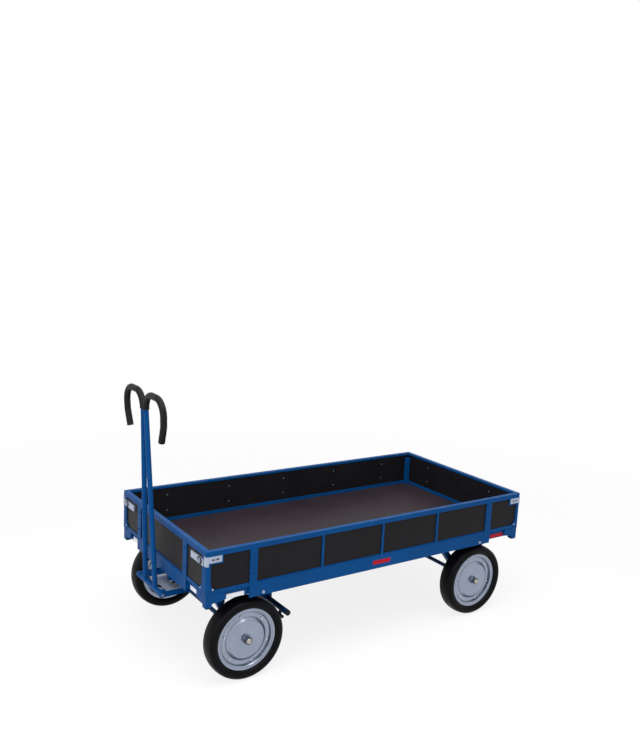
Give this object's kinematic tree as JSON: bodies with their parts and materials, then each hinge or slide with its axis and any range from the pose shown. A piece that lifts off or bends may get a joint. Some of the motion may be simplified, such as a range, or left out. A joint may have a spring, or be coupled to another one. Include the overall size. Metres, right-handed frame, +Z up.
{
  "type": "platform trolley with sides",
  "caption": "Hand-drawn platform trolley with a plywood deck, lift-off framed sides, a turntable-steered front axle, solid rubber tyres and an upright drawbar with hook grips.",
  "frame": {"origin": "on the floor, at the middle of the overall box", "axes": "+X towards the drawbar end, +Y to the left side, +Z up"},
  "size_m": [2.1226, 1.005, 1.3318],
  "materials": {
    "blue_paint": "satin",
    "black_paint": "satin",
    "zinc": "satin",
    "deck_board": "film-faced",
    "side_panel": "film-faced",
    "tyre": "matt",
    "black_plastic": "matt",
    "black_grip": "matt",
    "white_strip": "satin",
    "red_strip": "satin"
  },
  "bodies": {
    "chassis": {"deck_frame": "blue_paint", "deck_board": "deck_board", "corner_sockets": "blue_paint", "socket_caps": "black_plastic", "corner_posts": "blue_paint", "stake_pockets": "blue_paint", "upper_turntable": "black_paint", "kingpin_nut": "zinc", "rear_axle": "black_paint", "rear_axle_nuts": "zinc", "rear_axle_supports": "blue_paint"},
    "steering": {"lower_turntable": "black_paint", "steering_frame": "blue_paint", "fork_arms": "blue_paint", "drawbar_pin": "zinc", "stop_plate": "zinc", "brake_bars": "blue_paint", "brake_caps": "black_plastic", "brake_arms": "blue_paint", "front_axle": "black_paint", "front_axle_nuts": "zinc", "front_axle_supports": "blue_paint"},
    "drawbar": {"drawbar_frame": "blue_paint", "grips": "black_grip"},
    "wheel_front_left": {"tyre_front_left": "tyre", "rim_front_left": "zinc", "hub_front_left": "zinc"},
    "wheel_front_right": {"tyre_front_right": "tyre", "rim_front_right": "zinc", "hub_front_right": "zinc"},
    "wheel_rear_left": {"tyre_rear_left": "tyre", "rim_rear_left": "zinc", "hub_rear_left": "zinc"},
    "wheel_rear_right": {"tyre_rear_right": "tyre", "rim_rear_right": "zinc", "hub_rear_right": "zinc"},
    "side_left": {"side_frame_left": "blue_paint", "side_panel_left": "side_panel", "latch_keepers_left": "zinc"},
    "side_right": {"side_frame_right": "blue_paint", "side_panel_right": "side_panel", "latch_keepers_right": "zinc"},
    "side_front": {"side_frame_front": "blue_paint", "side_panel_front": "side_panel", "latches_front": "zinc"},
    "side_rear": {"side_frame_rear": "blue_paint", "side_panel_rear": "side_panel", "latches_rear": "zinc"}
  },
  "joints": [
    {"name": "steering_turn", "type": "hinge", "parent": "chassis", "child": "steering", "pos_m": [0.71469, 0, 0.4], "axis": [0, 0, 1], "range_deg": [-18, 18]},
    {"name": "drawbar_tilt", "type": "hinge", "parent": "steering", "child": "drawbar", "pos_m": [0.99969, 0, 0.3486], "axis": [0, 1, 0], "range_deg": [0, 100]},
    {"name": "wheel_front_left_spin", "type": "hinge", "parent": "steering", "child": "wheel_front_left", "pos_m": [0.71469, 0.444, 0.2], "axis": [0, 1, 0], "continuous": true},
    {"name": "wheel_front_right_spin", "type": "hinge", "parent": "steering", "child": "wheel_front_right", "pos_m": [0.71469, -0.444, 0.2], "axis": [0, 1, 0], "continuous": true},
    {"name": "wheel_rear_left_spin", "type": "hinge", "parent": "chassis", "child": "wheel_rear_left", "pos_m": [-0.75331, 0.444, 0.2], "axis": [0, 1, 0], "continuous": true},
    {"name": "wheel_rear_right_spin", "type": "hinge", "parent": "chassis", "child": "wheel_rear_right", "pos_m": [-0.75331, -0.444, 0.2], "axis": [0, 1, 0], "continuous": true},
    {"name": "side_left_lift", "type": "slide", "parent": "chassis", "child": "side_left", "axis": [0, 0, 1], "range_m": [0, 0.12]},
    {"name": "side_right_lift", "type": "slide", "parent": "chassis", "child": "side_right", "axis": [0, 0, 1], "range_m": [0, 0.12]},
    {"name": "side_front_lift", "type": "slide", "parent": "chassis", "child": "side_front", "axis": [0, 0, 1], "range_m": [0, 0.12]},
    {"name": "side_rear_lift", "type": "slide", "parent": "chassis", "child": "side_rear", "axis": [0, 0, 1], "range_m": [0, 0.12]}
  ]
}
